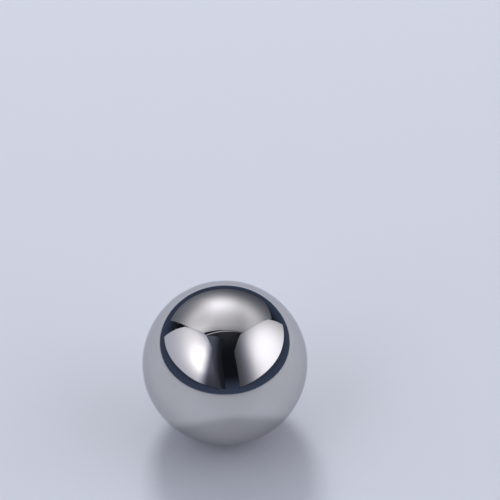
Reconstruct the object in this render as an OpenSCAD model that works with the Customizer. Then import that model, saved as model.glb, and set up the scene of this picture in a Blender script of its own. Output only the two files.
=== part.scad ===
// Steel ice ball: a sealed, mirror-polished stainless steel ball that is frozen
// and dropped into a drink to chill it.
//
// Two pressed half shells are welded round the equator and filled with chilling
// gel through a small hole in one pole, and a plug is welded into that hole.
// Grinding and polishing take the equator's weld away completely. The plug is
// ground to the ball's own curve, so all that is left of it is a hairline ring.
// Nothing opens the ball or shows its inside, so it is one solid.
//
// The origin is the centre of the ball. Z runs through the plug, which is at the
// bottom, where the ball hides it.

/* [Ball] */

// Diameter of the polished ball
ball_d = 55; // [40:0.5:80]

/* [Filling plug] */

// Diameter of the plug that closes the filling hole
plug_d = 4; // [2:0.1:8]
// Width of the hairline round the plug, where it opens on the surface
hairline_w = 0.2; // [0.1:0.01:0.5]
// Depth of the hairline below the surface
hairline_depth = 0.06; // [0.03:0.01:0.2]

/* [Hidden] */

$fn = 128;

ball_r = ball_d / 2;

// The hairline is a round-bottomed groove, and its section is part of a circle:
// the one whose chord is the hairline's width and whose rise is its depth.
hairline_r = (pow(hairline_w / 2, 2) + pow(hairline_depth, 2)) / (2 * hairline_depth);

// That circle's centre lies outside the ball, straight out from the plug's edge.
hairline_reach = ball_r + hairline_r - hairline_depth;
plug_edge_angle = asin(plug_d / ball_d);

// The ring that cuts the hairline round the plug.
module hairline() {
    rotate_extrude()
        rotate(plug_edge_angle - 90)
            translate([hairline_reach, 0])
                circle(r = hairline_r);
}

// The whole ball: one sealed piece, polished all over.
module ball() {
    color("silver")
        difference() {
            sphere(d = ball_d);
            hairline();
        }
}

ball();
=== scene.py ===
import math

import bpy
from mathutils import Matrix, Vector


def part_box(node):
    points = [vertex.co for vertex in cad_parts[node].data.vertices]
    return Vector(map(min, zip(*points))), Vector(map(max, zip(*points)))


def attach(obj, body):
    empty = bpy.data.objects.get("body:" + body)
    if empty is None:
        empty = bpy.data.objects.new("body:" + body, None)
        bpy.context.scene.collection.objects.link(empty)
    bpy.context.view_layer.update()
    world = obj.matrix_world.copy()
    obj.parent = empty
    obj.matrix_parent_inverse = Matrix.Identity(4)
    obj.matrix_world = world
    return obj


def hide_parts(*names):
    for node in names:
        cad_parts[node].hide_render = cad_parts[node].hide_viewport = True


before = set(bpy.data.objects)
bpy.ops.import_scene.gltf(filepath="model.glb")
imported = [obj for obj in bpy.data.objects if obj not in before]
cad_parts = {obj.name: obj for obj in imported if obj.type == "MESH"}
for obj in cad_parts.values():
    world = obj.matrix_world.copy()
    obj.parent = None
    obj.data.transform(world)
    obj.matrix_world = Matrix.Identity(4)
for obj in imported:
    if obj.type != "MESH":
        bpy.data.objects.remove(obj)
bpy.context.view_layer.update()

lowCorner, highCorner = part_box("ball")
ballRadius = (highCorner.z - lowCorner.z) / 2
floorHeight = lowCorner.z  # the ball touches the floor at its lowest point


def direction(azimuth, elevation):  # degrees; azimuth 0 faces the camera's side, and 90 is on its right
    turn = math.radians(azimuth)
    rise = math.radians(elevation)
    return Vector((math.sin(turn) * math.cos(rise), -math.cos(turn) * math.cos(rise), math.sin(rise)))


def link(tree, source, target):
    tree.links.new(source, target)


def fillSocket(tree, socket, value):  # value is a number, a tuple, a vector or another node's socket
    if isinstance(value, (int, float, tuple, Vector)):
        socket.default_value = value
    else:
        link(tree, value, socket)


def mathNode(tree, operation, *values):
    node = tree.nodes.new("ShaderNodeMath")
    node.operation = operation
    for socket, value in zip(node.inputs, values):
        fillSocket(tree, socket, value)
    return node.outputs[0]


def vectorNode(tree, operation, *values):
    node = tree.nodes.new("ShaderNodeVectorMath")
    node.operation = operation
    for socket, value in zip(node.inputs, values):
        fillSocket(tree, socket, value)
    return node.outputs["Value" if operation in ("LENGTH", "DOT_PRODUCT") else "Vector"]


def noiseNode(tree, place, scale, detail=2):
    node = tree.nodes.new("ShaderNodeTexNoise")
    fillSocket(tree, node.inputs["Vector"], place)
    fillSocket(tree, node.inputs["Scale"], scale)
    node.inputs["Detail"].default_value = detail
    return node.outputs["Fac"]


def rangeNode(tree, value, low, high, newLow=0, newHigh=1):
    node = tree.nodes.new("ShaderNodeMapRange")
    node.interpolation_type = "SMOOTHSTEP"
    for socket, setting in zip(node.inputs, (value, low, high, newLow, newHigh)):
        fillSocket(tree, socket, setting)
    return node.outputs["Result"]


def colourMix(tree, share, first, second):
    node = tree.nodes.new("ShaderNodeMix")
    node.data_type = "RGBA"
    fillSocket(tree, node.inputs["Factor"], share)
    fillSocket(tree, node.inputs[6], first)
    fillSocket(tree, node.inputs[7], second)
    return node.outputs[2]


def objectPlace(tree):  # each point's place, from the ball's centre
    return tree.nodes.new("ShaderNodeTexCoord").outputs["Object"]


def newMaterial(name):
    material = bpy.data.materials.new(name)
    material.use_nodes = True
    return material, material.node_tree.nodes["Principled BSDF"]


def addBump(tree, shader, height, distance, invert=False):
    bump = tree.nodes.new("ShaderNodeBump")
    bump.invert = invert
    bump.inputs["Distance"].default_value = distance
    link(tree, height, bump.inputs["Height"])
    link(tree, bump.outputs[0], shader.inputs["Normal"])


def makeGroup(name, inputs, outputs):
    tree = bpy.data.node_groups.new(name, "ShaderNodeTree")
    for label, kind in inputs:
        tree.interface.new_socket(label, in_out="INPUT", socket_type="NodeSocket" + kind)
    for label, kind in outputs:
        tree.interface.new_socket(label, in_out="OUTPUT", socket_type="NodeSocket" + kind)
    return tree, tree.nodes.new("NodeGroupInput").outputs, tree.nodes.new("NodeGroupOutput").inputs


def useGroup(tree, group, settings):
    node = tree.nodes.new("ShaderNodeGroup")
    node.node_tree = group
    for label, value in settings.items():
        fillSocket(tree, node.inputs[label], value)
    return node.outputs


camera = {
    "lens": 150,  # mm
    "sensor": 36,  # mm across
    "near": 0.01,  # nothing nearer than this is seen
    "tilt": 40,  # degrees, looking down
    "away": 24.07,  # ball radii from the point it looks at
    "aimRight": 0.303,  # ball radii
    "aimUp": 1.786,
}


def makeCamera():
    data = bpy.data.cameras.new("camera")
    data.lens = camera["lens"]
    data.sensor_width = camera["sensor"]
    data.clip_start = camera["near"]
    view = bpy.data.objects.new("camera", data)
    bpy.context.scene.collection.objects.link(view)
    aim = Vector((camera["aimRight"], 0, camera["aimUp"])) * ballRadius
    view.location = aim + direction(0, camera["tilt"]) * camera["away"] * ballRadius
    view.rotation_euler = (math.radians(90 - camera["tilt"]), 0, 0)
    bpy.context.scene.camera = view


ball = {
    "rings": 144,  # from pole to pole
    "turns": 288,  # round the axis
    "plugRadius": 0.002,  # metres, as every length but the lens's is
    "hairlineWidth": 0.0002,
    "hairlineDepth": 0.00006,
    "hairlineSteps": 8,
    "plugRings": 5,
    "joined": 0.000002,  # points nearer than this become one
    "waveSize": 0.009,
    "waveHeight": 0.00004,  # from trough to crest, at most
    "sharpFrom": 30,  # degrees between two faces, from which their edge is left sharp
}


def arc(centre, radius, start, end, steps):  # (x, z) points, angles in degrees up from straight down
    points = []
    for step in range(steps + 1):
        angle = math.radians(start + (end - start) * step / steps)
        points.append((centre[0] + radius * math.sin(angle), centre[1] - radius * math.cos(angle)))
    return points


def hairlineAngles():  # the plug's edge and half the hairline's width, in degrees at the ball's centre
    plugAngle = math.degrees(math.asin(ball["plugRadius"] / ballRadius))
    lipAngle = math.degrees(math.asin(ball["hairlineWidth"] / 2 / ballRadius))
    return plugAngle, lipAngle


def ballOutline():  # from the top pole, down and through the hairline, to the bottom pole
    plugAngle, lipAngle = hairlineAngles()
    halfWidth = ball["hairlineWidth"] / 2
    depth = ball["hairlineDepth"]
    grooveRadius = (halfWidth ** 2 + depth ** 2) / (2 * depth)
    reach = ballRadius + grooveRadius - depth  # from the ball's centre to the groove circle's
    slope = math.degrees(math.asin(halfWidth / grooveRadius))
    plugTurn = math.radians(plugAngle)
    centre = (reach * math.sin(plugTurn), -reach * math.cos(plugTurn))
    shell = arc((0, 0), ballRadius, 180, plugAngle + lipAngle, ball["rings"])
    inward = plugAngle + 180
    groove = arc(centre, grooveRadius, inward - slope, inward + slope, ball["hairlineSteps"])
    plug = arc((0, 0), ballRadius, plugAngle - lipAngle, 0, ball["plugRings"])
    return shell + groove[1:-1] + plug  # the groove's own end points are the shell's and the plug's


def makeBall(shellMaterial, seamMaterial):
    bpy.ops.object.select_all(action="DESELECT")
    bpy.ops.mesh.primitive_plane_add(size=ballRadius)
    piece = bpy.context.object
    piece.name = "polishedBall"
    bpy.ops.object.mode_set(mode="EDIT")
    bpy.ops.mesh.select_all(action="SELECT")
    bpy.ops.mesh.merge(type="CENTER")
    outline = ballOutline()
    x, z = outline[0]
    bpy.ops.transform.translate(value=(x, 0, z))
    for nextX, nextZ in outline[1:]:
        bpy.ops.mesh.extrude_region_move(TRANSFORM_OT_translate={"value": (nextX - x, 0, nextZ - z)})
        x, z = nextX, nextZ
    bpy.ops.mesh.select_all(action="SELECT")
    bpy.ops.mesh.spin(steps=ball["turns"], angle=2 * math.pi, center=(0, 0, 0), axis=(0, 0, 1))
    bpy.ops.mesh.select_all(action="SELECT")
    bpy.ops.mesh.remove_doubles(threshold=ball["joined"])
    bpy.ops.mesh.normals_make_consistent(inside=False)
    bpy.ops.object.mode_set(mode="OBJECT")
    piece.data.materials.append(shellMaterial)
    piece.data.materials.append(seamMaterial)
    markSeam(piece)
    addWaves(piece)
    bpy.ops.object.shade_smooth_by_angle(angle=math.radians(ball["sharpFrom"]))
    return piece


def markSeam(piece):  # the hairline's own faces take the second material
    plugAngle, lipAngle = hairlineAngles()
    for face in piece.data.polygons:
        fromBottom = math.degrees(Vector((0, 0, -1)).angle(face.center))
        if abs(fromBottom - plugAngle) < lipAngle:
            face.material_index = 1


def addWaves(piece):  # the last faint waves that pressing and polishing leave
    clouds = bpy.data.textures.new("polishWaves", "CLOUDS")
    clouds.noise_scale = ball["waveSize"]
    clouds.noise_depth = 0
    waves = piece.modifiers.new("polishWaves", "DISPLACE")
    waves.texture = clouds
    waves.strength = ball["waveHeight"]
    bpy.ops.object.modifier_apply(modifier=waves.name)


polishLines = {
    "along": 0.012,  # how slowly a line changes along its length, against across it
    "detail": 1,
    "softness": 0.1,  # from where a line starts to where it is full
    "patchesPerMetre": 130,  # the lines come in patches
    "bareLevel": 0.78,  # with no cover, only what is above this has lines
    "coverDrop": 0.4,  # how far full cover brings that level down
    "patchSoftness": 0.12,
}


def makePolishLines():  # arcs that a buffing wheel leaves, all in planes across one axis
    inputs = [
        ("Position", "Vector"),
        ("Axis Turn", "Vector"),
        ("Lines Per Metre", "Float"),
        ("Thinness", "Float"),
        ("Cover", "Float"),
    ]
    tree, given, result = makeGroup("polishLines", inputs, [("Lines", "Float")])
    turned = tree.nodes.new("ShaderNodeMapping")
    link(tree, given["Position"], turned.inputs["Vector"])
    link(tree, given["Axis Turn"], turned.inputs["Rotation"])
    stretch = (polishLines["along"], polishLines["along"], 1)
    layers = vectorNode(tree, "MULTIPLY", turned.outputs[0], stretch)
    fine = noiseNode(tree, layers, given["Lines Per Metre"], polishLines["detail"])
    full = mathNode(tree, "ADD", given["Thinness"], polishLines["softness"])
    thin = rangeNode(tree, fine, given["Thinness"], full)
    patches = noiseNode(tree, turned.outputs[0], polishLines["patchesPerMetre"])
    level = mathNode(
        tree, "MULTIPLY_ADD", given["Cover"], -polishLines["coverDrop"], polishLines["bareLevel"])
    here = rangeNode(tree, patches, level, mathNode(tree, "ADD", level, polishLines["patchSoftness"]))
    link(tree, mathNode(tree, "MULTIPLY", thin, here), result["Lines"])
    return tree


polishHaze = {
    "detail": 4,
    "clearBelow": 0.35,  # the levels of the noise between which the haze comes in
    "hazyAbove": 0.7,
}


def makePolishHaze():  # soft cloudy patches where the polish is a touch less clear, and a fine grain
    inputs = [("Position", "Vector"), ("Patches Per Metre", "Float"), ("Grains Per Metre", "Float")]
    tree, given, result = makeGroup("polishHaze", inputs, [("Haze", "Float"), ("Grain", "Float")])
    broad = noiseNode(tree, given["Position"], given["Patches Per Metre"], polishHaze["detail"])
    haze = rangeNode(tree, broad, polishHaze["clearBelow"], polishHaze["hazyAbove"])
    link(tree, haze, result["Haze"])
    link(tree, noiseNode(tree, given["Position"], given["Grains Per Metre"]), result["Grain"])
    return tree


steel = {
    "clear": (0.59, 0.585, 0.578, 1),
    "hazed": (0.565, 0.56, 0.553, 1),
    "edgeTint": (0.8, 0.8, 0.82, 1),  # steel dips a little in brightness near its outline
    "roughness": 0.018,
    "hazeRoughness": 0.018,
    "haze": {"Patches Per Metre": 70},
    "buffing": {"Lines Per Metre": 7000, "Thinness": 0.5, "Cover": 0.85},
    "buffingTurns": [(0.9, -0.4, 0), (-0.3, 1.3, 0), (2.1, 0.2, 0)],  # radians, one turn for each set
    "buffingRoughness": 0.012,
    "scratches": {"Lines Per Metre": 4200, "Thinness": 0.6, "Cover": 0.45},
    "scratchTurns": [(0, 0, 0), (1.2, 0.5, 0), (-0.7, 1.0, 0.4)],
    "scratchRoughness": 0.08,
    "scratchDepth": 0.0000012,
}


def crossedLines(tree, lineGroup, place, settings, turns):
    lines = None
    for turn in turns:
        given = {"Position": place, "Axis Turn": turn, **settings}
        more = useGroup(tree, lineGroup, given)["Lines"]
        lines = more if lines is None else mathNode(tree, "MAXIMUM", lines, more)
    return lines


def makeSteel(lineGroup, hazeGroup):
    material, shader = newMaterial("polishedSteel")
    tree = material.node_tree
    shader.inputs["Metallic"].default_value = 1
    shader.inputs["Specular Tint"].default_value = steel["edgeTint"]
    place = objectPlace(tree)
    haze = useGroup(tree, hazeGroup, {"Position": place, **steel["haze"]})["Haze"]
    buffing = crossedLines(tree, lineGroup, place, steel["buffing"], steel["buffingTurns"])
    scratches = crossedLines(tree, lineGroup, place, steel["scratches"], steel["scratchTurns"])
    link(tree, colourMix(tree, haze, steel["clear"], steel["hazed"]), shader.inputs["Base Color"])
    rough = mathNode(tree, "MULTIPLY_ADD", haze, steel["hazeRoughness"], steel["roughness"])
    rough = mathNode(tree, "MULTIPLY_ADD", buffing, steel["buffingRoughness"], rough)
    rough = mathNode(tree, "MULTIPLY_ADD", scratches, steel["scratchRoughness"], rough)
    link(tree, rough, shader.inputs["Roughness"])
    addBump(tree, shader, scratches, steel["scratchDepth"], invert=True)
    return material


seam = {
    "pale": (0.47, 0.46, 0.445, 1),
    "straw": (0.40, 0.35, 0.27, 1),  # what is left of the weld's heat tint
    "roughness": 0.2,
    "hazeRoughness": 0.16,
    "haze": {"Patches Per Metre": 900, "Grains Per Metre": 5200},
    "lines": {"Lines Per Metre": 9000, "Thinness": 0.5, "Cover": 1.2},
    "lineTurns": [(0.4, 0.2, 0)],
    "lineRoughness": 0.1,
    "grainHeight": 0.000004,
}


def makeSeamSteel(lineGroup, hazeGroup):
    material, shader = newMaterial("weldSeam")
    tree = material.node_tree
    shader.inputs["Metallic"].default_value = 1
    place = objectPlace(tree)
    marks = useGroup(tree, hazeGroup, {"Position": place, **seam["haze"]})
    lines = crossedLines(tree, lineGroup, place, seam["lines"], seam["lineTurns"])
    colour = colourMix(tree, marks["Haze"], seam["pale"], seam["straw"])
    link(tree, colour, shader.inputs["Base Color"])
    rough = mathNode(tree, "MULTIPLY_ADD", marks["Haze"], seam["hazeRoughness"], seam["roughness"])
    rough = mathNode(tree, "MULTIPLY_ADD", lines, seam["lineRoughness"], rough)
    link(tree, rough, shader.inputs["Roughness"])
    addBump(tree, shader, marks["Grain"], seam["grainHeight"])
    return material


floor = {
    "radius": 8,
    "sides": 96,
    "colour": (0.60, 0.63, 0.69, 1),
    "roughness": 0.7,
}


def makeFloor():
    bpy.ops.object.select_all(action="DESELECT")
    bpy.ops.mesh.primitive_circle_add(
        vertices=floor["sides"], radius=floor["radius"], fill_type="NGON", location=(0, 0, floorHeight))
    ground = bpy.context.object
    ground.name = "floor"
    material, shader = newMaterial("paleFloor")
    shader.inputs["Base Color"].default_value = floor["colour"]
    shader.inputs["Roughness"].default_value = floor["roughness"]
    ground.data.materials.append(material)


studio = {  # what the panels share
    "tint": (0.955, 0.945, 1.015, 1),
    "coolFrom": 0.1,  # up to this glow a softbox has its cool tint alone
    "falloff": -2,  # the power with which the glow falls away from the hot spot
    "backAway": 1.02,  # how far off a black back is, against its softbox
}

# Corners, hot spots and fades are (azimuth, elevation) seen from the ball. A fade dims a panel toward
# one edge: start and end are sines of the angles past a plane, toward is square to that plane, and
# least is the share of the glow that is left at the start.
softboxes = {
    "overhead": {
        "corners": [
            (-88, 61), (-110, 44), (-131, 10), (-152, 10), (152, 10), (130, 22), (118, 40), (88.8, 62),
        ],
        "distance": 6,
        "coolTint": (0.89, 0.91, 1.117, 1),  # where the glow is weak
        "coolBelow": 0.6,  # from this glow up, the tint has no cool left in it
        "hotSpot": (-176, 48.25),
        "hot": 1.69,  # the glow there, before the ceiling and the fades
        "edge": 0.13,  # the glow far from it
        "spread": (2, 6, 0.301),  # how far the hot spot reaches across, to the front and up
        "ceiling": 2,  # the most that the glow reaches
        "shoulder": 0,  # how softly it levels off there
        "fades": [
            {"toward": (-93.1, 23.4), "start": 0, "end": 0.454, "least": 0.564},
            {"toward": (52.6, -40.1), "start": -1, "end": -0.863, "least": 0.604},
            {"toward": (-179, 2.6), "start": 0, "end": 0.196, "least": 0.674},
        ],
        "rim": 0,  # how much wider its black back is, as a share, or 0 for no back
    },
    "left": {
        "corners": [
            (-113.2, 38.2), (-84, 64.2), (-76, 65.7), (-40, 62.1), (-31, 60), (-24.5, 50), (-8, 7),
            (-116, 7),
        ],
        "distance": 4,
        "coolTint": (0.848, 0.88, 1.187, 1),
        "coolBelow": 1.2,
        "hotSpot": (-41.6, 37.9),
        "hot": 3.6,
        "edge": 0.6,
        "spread": (0.297, 0.78, 0.255),
        "ceiling": 2.1,
        "shoulder": 0.8,
        "fades": [
            {"toward": (-112.4, -2.3), "start": 0, "end": 0.272, "least": 0.1},
            {"toward": (-41, -20.5), "start": 0, "end": 0.08, "least": 0.85},
            {"toward": (-63, -25.3), "start": -0.05, "end": 0.13, "least": 0.7},
        ],
        "rim": 0.017,
    },
    "right": {
        "corners": [
            (20, 7), (22.5, 50), (25, 57), (50, 67.5), (76, 69.3), (83, 67.5), (109.6, 50), (128, 28),
            (129, 7),
        ],
        "distance": 4,
        "coolTint": (0.90, 0.90, 1.118, 1),
        "coolBelow": 1,
        "hotSpot": (81.6, 33.7),
        "hot": 3.5,
        "edge": 0.03,
        "spread": (0.343, 0.691, 2),
        "ceiling": 1.79,
        "shoulder": 2.5,
        "fades": [{"toward": (115.2, 1.3), "start": 0, "end": 0.478, "least": 0.454}],
        "rim": 0.017,
    },
}

paintedLightCards = {  # painted light: glowing cards, which are no lamps, for the dimly lit stands and fabric that show between the softboxes
    "leftFabricPaintedGlow": {
        # painted light: the softbox's side fabric, lit by the box, drawn as a dim glow
        "corners": [(-76, 66), (-42, 76.5), (-5, 74), (-8, 55), (2, 7), (-12, 8)],
        "distance": 5,
        "tint": (0.65, 0.73, 1, 1),
        "glow": 0.182,
        "fade": {"toward": (-105, -16), "start": -0.28, "end": -0.03, "least": 0.14},
    },
    "boomPaintedHighlight": {
        # painted highlight: the lit rod of a stand's boom, drawn as a glow
        "corners": [(-79, 66.4), (0, 88.1), (88, 67), (85, 67), (0, 86.9), (-76, 65.9)],
        "distance": 7,
        "tint": studio["tint"],
        "glow": 0.55,
        "fade": {"toward": (-90, 0), "start": -0.25, "end": -0.02, "least": 0.35},
    },
}


def panelOutline(corners, wider=0):  # the corners' directions, moved out from their middle by a share
    points = [direction(*corner) for corner in corners]
    middle = sum(points, Vector((0, 0, 0))) / len(points)
    return [(point + (point - middle) * wider).normalized() for point in points]


def makePanel(name, outline, distance, tint):
    bpy.ops.object.select_all(action="DESELECT")
    bpy.ops.mesh.primitive_circle_add(vertices=len(outline), radius=1, fill_type="NGON")
    panel = bpy.context.object
    panel.name = name
    for vertex, point in zip(panel.data.vertices, outline):
        vertex.co = point * distance
    panel.visible_camera = False
    material, shader = newMaterial(name)
    tree = material.node_tree
    tree.nodes.remove(shader)
    glow = tree.nodes.new("ShaderNodeEmission")
    glow.inputs["Color"].default_value = tint
    link(tree, glow.outputs[0], tree.nodes["Material Output"].inputs["Surface"])
    panel.data.materials.append(material)
    return tree, glow.inputs


def ballSight(tree):  # the direction in which the ball sees each point of a panel
    return vectorNode(tree, "NORMALIZE", objectPlace(tree))


def fadeShare(tree, sight, fade):
    inside = vectorNode(tree, "DOT_PRODUCT", sight, direction(*fade["toward"]))
    return rangeNode(tree, inside, fade["start"], fade["end"], fade["least"], 1)


def makeBack(name, box):  # the black cloth behind a softbox, which shows as a thin dark line round it
    outline = panelOutline(box["corners"], box["rim"])
    lamp = makePanel(name, outline, box["distance"] * studio["backAway"], studio["tint"])[1]
    lamp["Strength"].default_value = 0


def makeSoftbox(name, box):
    tree, lamp = makePanel(name, panelOutline(box["corners"]), box["distance"], studio["tint"])
    sight = ballSight(tree)
    away = vectorNode(tree, "SUBTRACT", sight, direction(*box["hotSpot"]))
    distance = vectorNode(tree, "LENGTH", vectorNode(tree, "DIVIDE", away, box["spread"]))
    share = mathNode(tree, "ADD", mathNode(tree, "POWER", distance, 2), 1)
    share = mathNode(tree, "POWER", share, studio["falloff"])
    glow = mathNode(tree, "MULTIPLY_ADD", share, box["hot"] - box["edge"], box["edge"])
    glow = mathNode(tree, "SMOOTH_MIN", glow, box["ceiling"], box["shoulder"])
    for fade in box["fades"]:
        glow = mathNode(tree, "MULTIPLY", glow, fadeShare(tree, sight, fade))
    warmth = rangeNode(tree, glow, studio["coolFrom"], box["coolBelow"])
    link(tree, glow, lamp["Strength"])
    link(tree, colourMix(tree, warmth, box["coolTint"], studio["tint"]), lamp["Color"])
    if box["rim"]:
        makeBack(name + "Back", box)


# each card glows: painted light standing in for the light on a stand or fabric
def makePaintedLightCard(name, card):
    tree, lamp = makePanel(name, panelOutline(card["corners"]), card["distance"], card["tint"])
    share = fadeShare(tree, ballSight(tree), card["fade"])
    link(tree, mathNode(tree, "MULTIPLY", share, card["glow"]), lamp["Strength"])


keyLamp = {  # just in front of the overhead softbox, and not seen in the steel
    "direction": (-172, 46),
    "distance": 2.5,
    "size": 0.7,
    "power": 27,  # watts
}


def makeKeyLamp():
    data = bpy.data.lights.new("keyLamp", "AREA")
    data.shape = "DISK"
    data.size = keyLamp["size"]
    data.energy = keyLamp["power"]
    lamp = bpy.data.objects.new("keyLamp", data)
    bpy.context.scene.collection.objects.link(lamp)
    toward = direction(*keyLamp["direction"])
    lamp.location = toward * keyLamp["distance"]
    lamp.rotation_euler = toward.to_track_quat("Z", "Y").to_euler()
    lamp.visible_camera = False
    lamp.visible_glossy = False


surround = {
    "horizon": (0.055, 0.075, 0.13, 1),
    "dark": (0.008, 0.009, 0.013, 1),
    "overhead": (0.043, 0.043, 0.054, 1),
    "darkFrom": 0.45,  # sine of the elevation from which it is dark
    "overheadGather": 20,  # how tightly the overhead's glow gathers round straight up
    "fillColour": (1, 1, 1, 1),  # what lights the matt surfaces from all round
    "fill": 0.12,
}


def makeWorld():
    world = bpy.data.worlds.new("studio")
    bpy.context.scene.world = world
    world.use_nodes = True
    tree = world.node_tree
    split = tree.nodes.new("ShaderNodeSeparateXYZ")
    link(tree, tree.nodes.new("ShaderNodeTexCoord").outputs["Generated"], split.inputs[0])
    up = split.outputs["Z"]
    climb = rangeNode(tree, up, 0, surround["darkFrom"])
    low = colourMix(tree, climb, surround["horizon"], surround["dark"])
    gathered = mathNode(tree, "POWER", mathNode(tree, "MAXIMUM", up, 0), surround["overheadGather"])
    seenColour = colourMix(tree, gathered, low, surround["overhead"])
    back = tree.nodes["Background"]
    link(tree, seenColour, back.inputs["Color"])
    fill = tree.nodes.new("ShaderNodeBackground")
    fill.inputs["Color"].default_value = surround["fillColour"]
    fill.inputs["Strength"].default_value = surround["fill"]
    path = tree.nodes.new("ShaderNodeLightPath")
    seen = mathNode(tree, "MAXIMUM", path.outputs["Is Camera Ray"], path.outputs["Is Glossy Ray"])
    seen = mathNode(tree, "MAXIMUM", seen, path.outputs["Is Transmission Ray"])
    mix = tree.nodes.new("ShaderNodeMixShader")
    link(tree, seen, mix.inputs[0])
    link(tree, fill.outputs[0], mix.inputs[1])
    link(tree, back.outputs[0], mix.inputs[2])
    link(tree, mix.outputs[0], tree.nodes["World Output"].inputs["Surface"])


bpy.context.scene.view_settings.view_transform = "Standard"
makeCamera()
print("camera placed")

makeWorld()
makeFloor()
makeKeyLamp()
for boxName, box in softboxes.items():
    makeSoftbox(boxName, box)
for cardName, card in paintedLightCards.items():
    makePaintedLightCard(cardName, card)
print("studio lit")

polishGroups = (makePolishLines(), makePolishHaze())
shell = makeBall(makeSteel(*polishGroups), makeSeamSteel(*polishGroups))
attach(shell, "root")
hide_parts("ball")
print("ball turned:", len(shell.data.polygons), "faces")
